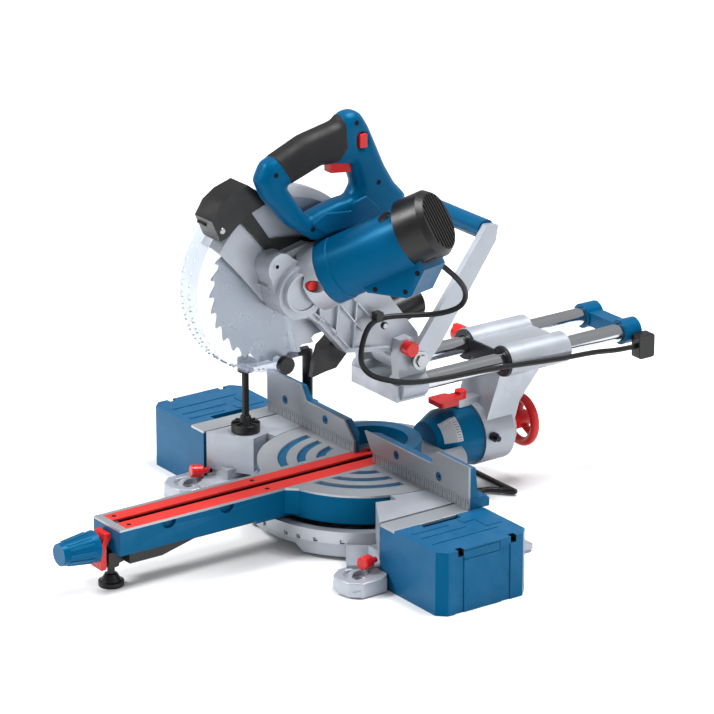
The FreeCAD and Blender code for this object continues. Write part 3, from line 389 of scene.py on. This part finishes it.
def carve(piece, cutter):
    """Cuts the closed shapes in a bmesh out of a piece."""
    mesh = bpy.data.meshes.new("cutter")
    cutter.to_mesh(mesh)
    cutter.free()
    tool = bpy.data.objects.new("cutter", mesh)
    bpy.context.scene.collection.objects.link(tool)
    cut = piece.modifiers.new("cut", "BOOLEAN")
    cut.operation, cut.solver, cut.object, cut.use_self = "DIFFERENCE", "EXACT", tool, True
    bake(piece)
    bpy.data.objects.remove(tool)


def soften(node, mat, width, segments=2, second=None, choose=None, cutter=None):
    """Shows a CAD node with rounded edges; choose(centre, normal) picks the faces of a second finish."""
    piece = new_piece(node + "_look", node_mesh(node), mat)
    piece.data.shade_smooth()
    if cutter:
        carve(piece, cutter)
    if second:
        piece.data.materials.append(second)
    if width:
        round_edges(piece, width * MM, segments)
    else:
        piece.data.set_sharp_from_angle(angle=math.radians(32))
    if second:
        for face in piece.data.polygons:
            face.material_index = int(choose(face.center / MM, face.normal))
    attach(piece, NODES[node]["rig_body"])
    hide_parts(node)
    return piece


def turned(origin, direction, up=None):
    """Matrix that puts local z along a direction, at a point given in millimetres."""
    way = Vector(direction).normalized()
    side = (up or (X if abs(way.x) < 0.9 else Y)).cross(way).normalized()
    turn = Matrix((side, way.cross(side), way)).transposed().to_4x4()
    return Matrix.Translation(Vector(origin) * MM) @ turn


def add_disc(shape, matrix, radius, depth, radius_top=None, sides=40):
    """Cylinder or cone in millimetres, from the matrix's origin along its z."""
    top = radius if radius_top is None else radius_top
    bmesh.ops.create_cone(shape, cap_ends=True, segments=sides, radius1=radius * MM, radius2=top * MM,
                          depth=depth * MM, matrix=matrix @ Matrix.Translation((0, 0, depth * MM / 2)))


def add_box(shape, matrix, size, centre=(0, 0, 0)):
    """Box of a size in millimetres about a local centre."""
    move = Matrix.Translation(Vector(centre) * MM) @ Matrix.Diagonal((*(s * MM for s in size), 1))
    bmesh.ops.create_cube(shape, size=1.0, matrix=matrix @ move)


def add_prism(shape, points, axis, low, high):
    """Closed outline in millimetres, swept along an axis of the row frame."""
    def place(u, v, w):
        return Vector({"x": (w, u, v), "y": (u, w, v), "z": (u, v, w)}[axis]) * MM
    rings = [[shape.verts.new(place(u, v, w)) for u, v in points] for w in (low, high)]
    faces = [shape.faces.new(ring) for ring in rings]
    for i in range(len(points)):
        j = (i + 1) % len(points)
        faces.append(shape.faces.new((rings[0][i], rings[0][j], rings[1][j], rings[1][i])))
    bmesh.ops.recalc_face_normals(shape, faces=faces)


def finish_mesh(name, shape, mat, body, width=0.5, segments=2):
    """Makes a piece of a bmesh, with its edges rounded by a width in millimetres."""
    mesh = bpy.data.meshes.new(name)
    shape.to_mesh(mesh)
    shape.free()
    piece = new_piece(name, mesh, mat)
    if width:
        round_edges(piece, width * MM, segments)
    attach(piece, body)
    return piece


def add_disc_piece(name, origin, direction, radius, depth, mat, body, width, top=None, sides=40):
    """Disc, cone or hexagon that is a piece of its own."""
    shape = bmesh.new()
    add_disc(shape, turned(origin, direction), radius, depth, top, sides)
    finish_mesh(name, shape, mat, body, width)


def surface_point(piece, origin, direction):
    """Where a ray from a point in millimetres meets a piece, and the surface's normal there."""
    tree = BVHTree.FromPolygons([v.co for v in piece.data.vertices],
                                [p.vertices for p in piece.data.polygons])
    place, normal, _, _ = tree.ray_cast(Vector(origin) * MM, Vector(direction))
    return (place / MM, normal) if place else (None, None)


def add_screw(name, piece, origin, direction, body, radius):
    """Dark disc of a recessed screw, set where a ray meets a piece; its deep black is painted shade of the
    screw's hole.
    """
    place, normal = surface_point(piece, origin, direction)
    if place is None:
        print("no surface for", name)
        return
    add_disc_piece(name, place - normal * 0.6, normal, radius, 0.85, DEEP_BLACK_AND_SHADE, body, 0.15,
                   radius * 0.96, 28)


# ---------------------------------------------------------------- cable
CABLE_ROUTE = [(135, 23, 396), (141, 50, 372), (130, 76, 342), (108, 84, 314), (84, 66, 301), (62, 32, 300),
               (48, -4, 301), (46, -26, 291), (52.8, -43, 251.9), (57.5, -34, 231), (61, -10, 218),
               (69.5, 30, 207), (70.5, 86, 203), (70, 135, 201), (70.6, 190, 198), (70, 240, 193),
               (70.4, 290, 189), (70, 340, 187), (69, 385, 180), (69, 413, 180)]
CABLE_DIAMETER = 0.0074


def smooth_line(points):
    """Points along the NURBS spline that has these control points, in metres."""
    curve = bpy.data.curves.new("route", "CURVE")
    curve.dimensions, curve.resolution_u = "3D", 8
    spline = curve.splines.new("NURBS")
    spline.points.add(len(points) - 1)
    for point, place in zip(spline.points, points):
        point.co = (*(c * MM for c in place), 1.0)
    spline.order_u = 3
    spline.use_endpoint_u = True
    holder = bpy.data.objects.new("route", curve)
    bpy.context.scene.collection.objects.link(holder)
    bpy.context.view_layer.update()
    line = bpy.data.meshes.new_from_object(holder.evaluated_get(bpy.context.evaluated_depsgraph_get()))
    places = [v.co.copy() for v in line.vertices]
    bpy.data.objects.remove(holder)
    return places


def tube_mesh(name, line, radius, sides=20):
    """Tube of one radius along a line, with closed ends."""
    shape = bmesh.new()
    rings, side = [], None
    for i, place in enumerate(line):
        ahead = (line[min(i + 1, len(line) - 1)] - line[max(i - 1, 0)]).normalized()
        side = (X.cross(ahead) if side is None else side - ahead * side.dot(ahead)).normalized()
        over = ahead.cross(side)
        rings.append([shape.verts.new(place + (side * math.cos(a) + over * math.sin(a)) * radius)
                      for a in (2 * math.pi * k / sides for k in range(sides))])
    for first, second in zip(rings, rings[1:]):
        for k in range(sides):
            j = (k + 1) % sides
            shape.faces.new((first[k], first[j], second[j], second[k]))
    shape.faces.new(rings[0][::-1])
    shape.faces.new(rings[-1])
    bmesh.ops.recalc_face_normals(shape, faces=shape.faces)
    mesh = bpy.data.meshes.new(name)
    shape.to_mesh(mesh)
    shape.free()
    mesh.shade_smooth()
    return mesh


def add_cable():
    """Mains lead from the motor to the clamp at the end of the rails."""
    line = smooth_line(CABLE_ROUTE)
    cable = new_piece("mains_cable", tube_mesh("mains_cable", line, CABLE_DIAMETER / 2), CABLE)
    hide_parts("cable_head", "cable_loop", "cable_rail")
    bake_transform(cable)


# ---------------------------------------------------------------- base, table and fences
def add_base():
    """Base, side boxes, fences, turntable and screw clamp."""
    soften("base_casting", SILVER, 1.6, 3)
    soften("mitre_scale", BRUSHED, 0.5)
    soften("fence_casting", BLUE_PAINT, 1.0)
    soften("anti_tip_bar", BLACK_STEEL, 0)
    soften("base_feet", RUBBER, 0.4)
    soften("fence_faces", FACE, 0.3)
    for side, way in (("right", 1), ("left", -1)):
        add_side_box(side, way)
        soften("extension_frame_" + side, BRUSHED, 0.7)
        soften("clamp_lever_" + side, RED, 2.0, 3)
    add_sliding_fence("right", (77.5, 172.1))
    add_sliding_fence("left", (-86.3, -181.9))
    # Faces in the kerf slot between the plates take the deep black finish: painted shade in the slot.
    soften("turntable", BLUE_PAINT, 1.3, 3, DEEP_BLACK_AND_SHADE,
           lambda centre, normal: -6.6 < centre.x < 12 and -398 < centre.y < 66 and centre.z < 86)
    add_arm_details()
    soften("table_top", TABLE, 0.4)
    soften("kerf_plates", KERF_RED, 0.4)
    soften("support_leg", BLACK, 1.0)
    soften("leg_foot", BLACK, 0.8)
    soften("detent_lever", RED, 0.9, 3)
    soften("mitre_knob", BLUE, 0.8, 3)
    add_knob_ribs()
    add_front_feet()
    soften("clamp_post", BLACK_STEEL, 0.5)
    add_clamp_pad()


def add_side_box(side, way):
    """Ribbed box: stepped panels on top, a blank plate frame, and latch notches in deep black as painted
    shade.
    """
    cutter = bmesh.new()
    for y in (-84, -25):
        add_box(cutter, ROW, (2, 1.0, 13), (BOX_END_X * way, y, 78.5))
    for z in (72.5, 84.5):
        add_box(cutter, ROW, (2, 60, 1.0), (BOX_END_X * way, -54.5, z))
    # Faces inside the end notches take the deep black finish: painted shade in the notches.
    soften("side_box_" + side, BLUE, 1.5, 3, DEEP_BLACK_AND_SHADE,
           lambda centre, normal: 329.9 < abs(centre.x) < 337.5 and 77.9 < centre.z < 86.5
           and (-92.1 < centre.y < -82.9 or -8.1 < centre.y < 1.1), cutter)
    shape = bmesh.new()
    panels = [[(253, -30), (266, -30), (266, -12), (292, -12), (292, 14), (253, 14)],
              [(256, -106), (262, -106), (262, -50), (256, -50)],
              [(276, -106), (279, -106), (279, -34), (276, -34)],
              [(300, -106), (303, -106), (303, -2), (300, -2)]]
    for panel in panels:
        add_prism(shape, [(x * way, y) for x, y in panel], "z", BOX_TOP_Z, BOX_TOP_Z + 1.3)
    body = NODES["side_box_" + side]["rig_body"]
    finish_mesh("box_ribs_" + side, shape, BLUE, body, 0.45)


def add_sliding_fence(side, places):
    """Upper fence: silver plate on a blue backing, with two recessed blue bolts."""
    node = "sliding_fence_" + side
    body = NODES[node]["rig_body"]
    cutter = bmesh.new()
    for x in places:
        add_disc(cutter, turned((x, -1, FENCE_BOLT_Z), Y), 6.2, 3.4)
    soften(node, PLATE, 0.6, 2, BLUE_PAINT, lambda centre, normal: centre.y > 3.05, cutter)
    for i, x in enumerate(places):
        add_disc_piece(f"fence_bolt_{side}_{i + 1}", (x, 2.6, FENCE_BOLT_Z), -Y, 5.6, 1.9,
                       BLUE_PAINT, body, 0.5)
        # A dark hexagon on each bolt face: painted shade in the bolt's socket.
        add_disc_piece(f"fence_socket_{side}_{i + 1}", (x, 1.0, FENCE_BOLT_Z), -Y, 2.4, 0.5,
                       DEEP_BLACK_AND_SHADE, body, 0, sides=6)


def add_arm_details():
    """Screws in the kerf plates and the black trough under the front arm."""
    shape = bmesh.new()
    for x in (-16, 20):
        for y in (-384, -168, 22):
            add_disc(shape, turned((x, y, 86.6), Z), 3.4, 0.55, 3.2, 24)
    finish_mesh("kerf_screws", shape, DEEP_BLACK_AND_SHADE, "table", 0.1)
    shape = bmesh.new()
    trough = [(-388, 51.5), (-388, 35), (-338, 35), (-288, 46.8), (-196, 46.8), (-188, 51.5)]
    add_prism(shape, trough, "x", -27, 27)
    finish_mesh("arm_trough", shape, BLACK, "table", 1.0)


def add_front_feet():
    """Raised walls round the screw holes of the two front feet of the base."""
    outline = [(170.4, -124), (170.4, -161), (181, -176), (199, -181), (218, -177), (230.6, -163),
               (230.6, -124)]
    recess = [(181, -110), (181, -156), (188, -165), (199, -168), (210, -165), (218, -156), (218, -110)]
    for side, way in (("right", 1), ("left", -1)):
        shape = bmesh.new()
        add_prism(shape, [(x * way, y) for x, y in outline], "z", 1.2, 22)
        cutter = bmesh.new()
        add_prism(cutter, [(x * way, y) for x, y in recess], "z", 14.5, 40)
        mesh = bpy.data.meshes.new("foot_wall_" + side)
        shape.to_mesh(mesh)
        shape.free()
        wall = new_piece("foot_wall_" + side, mesh, SILVER)
        carve(wall, cutter)
        cutter = bmesh.new()
        add_disc(cutter, turned((199 * way, -145, -5), Z), 6, 40)
        carve(wall, cutter)
        round_edges(wall, 2.4 * MM, 3)
        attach(wall, "base")


def add_clamp_pad():
    """Screw clamp with a pad stiffened by ribs round its socket."""
    soften("clamp_spindle", BLACK, 0.6, 3)
    body = NODES["clamp_spindle"]["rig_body"]
    shape = bmesh.new()
    for i in range(8):
        turn = Matrix.Rotation(math.radians(45 * i + 12), 4, "Z")
        add_box(shape, Matrix.Translation(CLAMP_PAD * MM) @ turn, (12, 1.8, 5), (12.5, 0, 0.4))
    finish_mesh("clamp_pad_ribs", shape, BLACK, body, 0.4)
    add_disc_piece("clamp_pad_socket", CLAMP_PAD, Z, 9.5, 11, BLACK, body, 0.6, 7.0)


def cone_patch(shape, y0, r0, y1, r1, start, end, steps=18):
    """Curved plate over the bevel drum between two angles above the horizontal."""
    rows = []
    for y, r in ((y0, r0), (y1, r1)):
        angles = [math.radians(start + (end - start) * i / steps) for i in range(steps + 1)]
        places = [Vector((r * math.cos(a), y, BEVEL_AXIS_Z + r * math.sin(a))) * MM for a in angles]
        rows.append([shape.verts.new(place) for place in places])
    for i in range(steps):
        shape.faces.new((rows[0][i], rows[1][i], rows[1][i + 1], rows[0][i + 1]))


def add_knob_ribs():
    """Grip ridges along the tapered mitre knob."""
    shape = bmesh.new()
    for i in range(12):
        angle = math.radians(30 * i)
        out = Vector((math.cos(angle), 0, math.sin(angle)))
        start = Vector((0, -470, KNOB_AXIS_Z)) + out * 15.6
        run = Vector((0, -434, KNOB_AXIS_Z)) + out * 20.1 - start
        add_box(shape, turned(start, run, out), (3.6, 3.0, run.length), (0, 0, run.length / 2))
    finish_mesh("knob_ribs", shape, BLUE, NODES["mitre_knob"]["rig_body"], 0.9)


def add_bevel_scale():
    """Silver bevel scale on the blue drum, with a tick every five degrees."""
    shape = bmesh.new()
    cone_patch(shape, 113, 34.3, 130, 42.4, 12, 62)
    cone_patch(shape, 130, 42.4, 139, 42.4, 12, 62)
    bmesh.ops.remove_doubles(shape, verts=shape.verts, dist=0.00001)
    finish_mesh("bevel_scale", shape, BRUSHED, "table", 0)
    shape = bmesh.new()
    for i in range(10):
        angle = 14.5 + 5 * i
        cone_patch(shape, 131, 42.6, 136 + (i % 2) * 1.6, 42.6, angle, angle + 0.9, 1)
    finish_mesh("bevel_scale_ticks", shape, DEEP_BLACK_AND_SHADE, "table", 0)


def add_arm():
    """Bevel arm, rails and the carriage that slides on them."""
    soften("tilt_arm", SILVER, 2.2, 3)
    soften("wiper_plate", BLACK, 0.5)
    soften("handwheel", RED, 0.8)
    soften("bevel_lever", RED, 1.2, 3)
    soften("bevel_stop_screws", BLACK_STEEL, 0.5)
    soften("slide_lock_knob", RED, 0.9)
    soften("rails", CHROME, 0.6)
    soften("rail_end_cap", BLUE, 1.6, 3)
    soften("cable_clamp", BLACK, 0.8)
    soften("carriage", SILVER, 1.8, 3)
    soften("carry_bar", SILVER, 2.2, 3)
    soften("carry_grip", BLUE, 1.2, 3, RUBBER,
           lambda centre, normal: -42 < centre.x < 44 and centre.z > 370 and normal.z - normal.y < 0.25)
    add_bevel_scale()
    shape = bmesh.new()
    add_disc(shape, turned((60.2, HEAD_PIVOT_Y, HEAD_PIVOT_Z), X), 13, 1.6)
    add_disc(shape, turned((61.6, HEAD_PIVOT_Y, HEAD_PIVOT_Z), X), 9, 3.0, 8.4, 6)
    finish_mesh("pivot_washer", shape, STEEL, "carriage", 0.4)
    soften("pivot_pin", STEEL, 0.6)
    soften("transport_pin", RED, 1.2, 3)
    # The inner steel parts keep their CAD shapes.
    for node in ("rail_bearings", "head_spring", "armature"):
        NODES[node].data.materials.clear()
        NODES[node].data.materials.append(STEEL)


# ---------------------------------------------------------------- saw head
GRIP_RISE = 0.0007


def add_handle():
    """Smooth D-handle with its soft grip as a separate piece."""
    piece = new_piece("handle_look", node_mesh("handle_left", "handle_right", "handle_grip"), HANDLE_BLUE)
    remesh = piece.modifiers.new("remesh", "REMESH")
    remesh.mode, remesh.voxel_size = "VOXEL", 0.0015
    smooth = piece.modifiers.new("smooth", "SMOOTH")
    smooth.factor, smooth.iterations = 0.5, 70
    bake(piece)
    pocket = bmesh.new()
    add_box(pocket, ROW, (17.8, 36.0, 42), (38, -66.5, 519.4))
    carve(piece, pocket)
    shape = bmesh.new()
    shape.from_mesh(piece.data)
    zone = [(-176, 556), (-148, 512), (-74, 530), (-62, 545), (-66, 600)]
    for (y0, z0), (y1, z1) in zip(zone, zone[1:]):
        across = Vector((0, z1 - z0, y0 - y1)).normalized()
        bmesh.ops.bisect_plane(shape, geom=shape.verts[:] + shape.edges[:] + shape.faces[:], dist=1e-6,
                               plane_co=Vector((0, y0, z0)) * MM, plane_no=across)

    def inside(centre):
        y, z = centre.y / MM, centre.z / MM
        sides = [(y1 - y0) * (z - z0) - (z1 - z0) * (y - y0) for (y0, z0), (y1, z1) in zip(zone, zone[1:])]
        return all(s > 0 for s in sides)

    grip = shape.copy()
    for part, unwanted in ((grip, False), (shape, True)):
        faces = [f for f in part.faces if inside(f.calc_center_median()) == unwanted]
        bmesh.ops.delete(part, geom=faces, context="FACES")
    for vert in [v for v in grip.verts if not v.is_boundary]:
        vert.co += vert.normal * GRIP_RISE
    mesh = bpy.data.meshes.new("handle_soft_grip")
    grip.to_mesh(mesh)
    shape.to_mesh(piece.data)
    for part, data in ((grip, mesh), (shape, piece.data)):
        part.free()
        data.shade_smooth()
    soft = new_piece("handle_soft_grip", mesh, RUBBER, "head")
    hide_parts("handle_grip")
    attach(piece, "head")
    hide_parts("handle_left", "handle_right")
    shape = bmesh.new()
    panel = [(-120, 454), (-98, 464), (-58, 460), (-52, 471), (-34, 476), (-11, 455), (-34, 440), (-98, 435)]
    add_prism(shape, panel, "x", 50, 57.5)
    finish_mesh("handle_panel", shape, BLUE, "head", 2.2, 3)
    screws = {1: (-174, 528), 3: (-48, 576), 4: (-13, 490), 5: (-117, 445), 6: (-48, 452)}
    for number, (y, z) in screws.items():
        add_screw(f"handle_screw_{number}", piece, (120, y, z), -X, "head", 3.6)


def add_motor():
    """Motor shell with its collar and brush cap, and the vented end cap."""
    run = MOTOR_END - MOTOR_START
    axis = run.normalized()
    shell = soften("motor_housing", BLUE, 2.6, 3)
    end = MOTOR_START + axis * (run.length + 4) + Vector((-2.9, -0.8, 5.2))
    face = turned(end, axis, Z)
    cutter = bmesh.new()
    for i in range(-4, 5):
        reach = math.sqrt(37 ** 2 - (i * 7.4) ** 2)
        add_box(cutter, face, (3.6, 2 * reach, 9), (i * 7.4, 0, 0))
    for i in range(9):
        way = Matrix.Rotation(math.radians(150 + 15 * i), 4, "Z")
        add_box(cutter, face @ way, (3.0, 6, 16), (0, 45, -24))
    soften("motor_end_cap", BLACK, 1.3, 3, cutter=cutter)
    shape = bmesh.new()
    add_disc(shape, turned(MOTOR_START + axis * 0.4, axis), 43.6, 20, 43.2, 72)
    finish_mesh("motor_collar", shape, BLUE, "head", 1.2, 3)
    up = (Z - axis * axis.z).normalized()
    lean = Matrix.Rotation(math.radians(18), 3, axis) @ up
    add_disc_piece("brush_cap", MOTOR_START + axis * 110 + lean * 38, lean, 9.5, 5.4,
                   BLACK, "head", 0.8, 9.0)
    down = Vector((0.476, 0.128, -0.870))
    inward = axis.cross(down)
    for i, (along, deep) in enumerate([(60, 44), (98, 62), (124, 46)]):
        place = MOTOR_START + axis * along + down * deep - inward * 60
        add_screw(f"motor_screw_{i + 1}", shell, place, inward, "head", 3.6)


def add_gear_case():
    """Gear case with a recessed round face, and the ribs along the arm."""
    cutter = bmesh.new()
    add_disc(cutter, turned((60.2, -136, 364), X), 23.5, 4)
    soften("gear_case", SILVER, 1.6, 3, cutter=cutter)
    add_disc_piece("gear_case_boss", (45.8, -168, 402), X, 5.2, 1.4, SILVER, "head", 0.5)
    # Dark hexagon on the boss: painted shade in its socket.
    add_disc_piece("gear_case_socket", (47.0, -168, 402), X, 2.8, 0.6, DEEP_BLACK_AND_SHADE, "head", 0,
                   sides=6)
    ribs = [((-95, 338), (-95, 312)), ((-64.6, 334), (-70, 286)), ((-35.7, 327), (-42, 264)),
            ((-64.6, 330), (-27.6, 284)), ((-40.5, 331), (-10, 296)), ((-110, 330), (-62, 284)),
            ((-88, 310), (-48, 264)), ((-48, 263), (16, 252))]
    shape = bmesh.new()
    for (y0, z0), (y1, z1) in ribs:
        run = Vector((0, y1 - y0, z1 - z0))
        add_box(shape, turned((36, y0, z0), run, X), (2.2, 6.4, run.length + 2), (0, 0, run.length / 2))
    finish_mesh("arm_ribs", shape, SILVER, "head", 0.4)


def add_head_fittings():
    """Clip that holds the cable on the arm, and the block at the nose of the upper guard."""
    shape = bmesh.new()
    add_box(shape, ROW, (13, 12, 13), (46, -8, 302))
    add_disc(shape, turned((50, -2, 290), X), 5.0, 5.0)
    finish_mesh("cable_clip", shape, BLACK, "head", 1.2)
    add_disc_piece("cable_clip_screw", (54.4, -2, 290), X, 3.6, 1.6, STEEL, "head", 0.4)
    shape = bmesh.new()
    add_prism(shape, [(-251, 462), (-236, 452), (-230, 466), (-243, 478)], "x", -15, 2)
    finish_mesh("nose_block", shape, BLACK, "head", 0.8)
    add_disc_piece("nose_bolt", (22.4, -236, 457), X, 4.6, 2.2, STEEL, "head", 0.4, 3.6)


def add_lower_guard():
    """Clear guard: thin cheeks, a less clear rim copy as painted highlight, slot walls deep black as painted
    shade.
    """
    piece = soften("lower_guard", CLEAR, 0)
    for mat in (CLEAR_RIM_HIGHLIGHT, DEEP_BLACK_AND_SHADE):
        piece.data.materials.append(mat)
    for face in piece.data.polygons:
        centre = face.center / MM
        reach = math.hypot(centre.y - BLADE_Y, centre.z - BLADE_Z)
        # Slot walls near the blade's edge get deep black as painted shade; other edge faces get the less
        # clear rim copy as a painted highlight.
        if 124.3 < reach < 126.25 and -46 < centre.x < -8 and abs(face.normal.x) < 0.99:
            face.material_index = 2
        elif abs(face.normal.x) < 0.7:
            face.material_index = 1


def add_head():
    """Everything that swings down with the saw."""
    add_handle()
    add_motor()
    add_gear_case()
    add_head_fittings()
    soften("upper_guard", SILVER, 0.6)
    soften("guard_trim", BLACK, 1.4, 3)
    soften("trigger", RED, 1.6, 3)
    soften("lock_off", RED, 1.2, 3)
    soften("spindle_lock", RED, 0.9, 3)
    soften("dust_chute", BLACK, 1.2, 3)
    soften("blade", BLADE, 0)
    soften("arbor", STEEL, 0.4)
    soften("guard_roller", BLACK, 0.7)
    soften("cable_boot", RUBBER, 0.8)
    add_lower_guard()


add_camera()
add_studio()
add_cable()
add_base()
add_arm()
add_head()
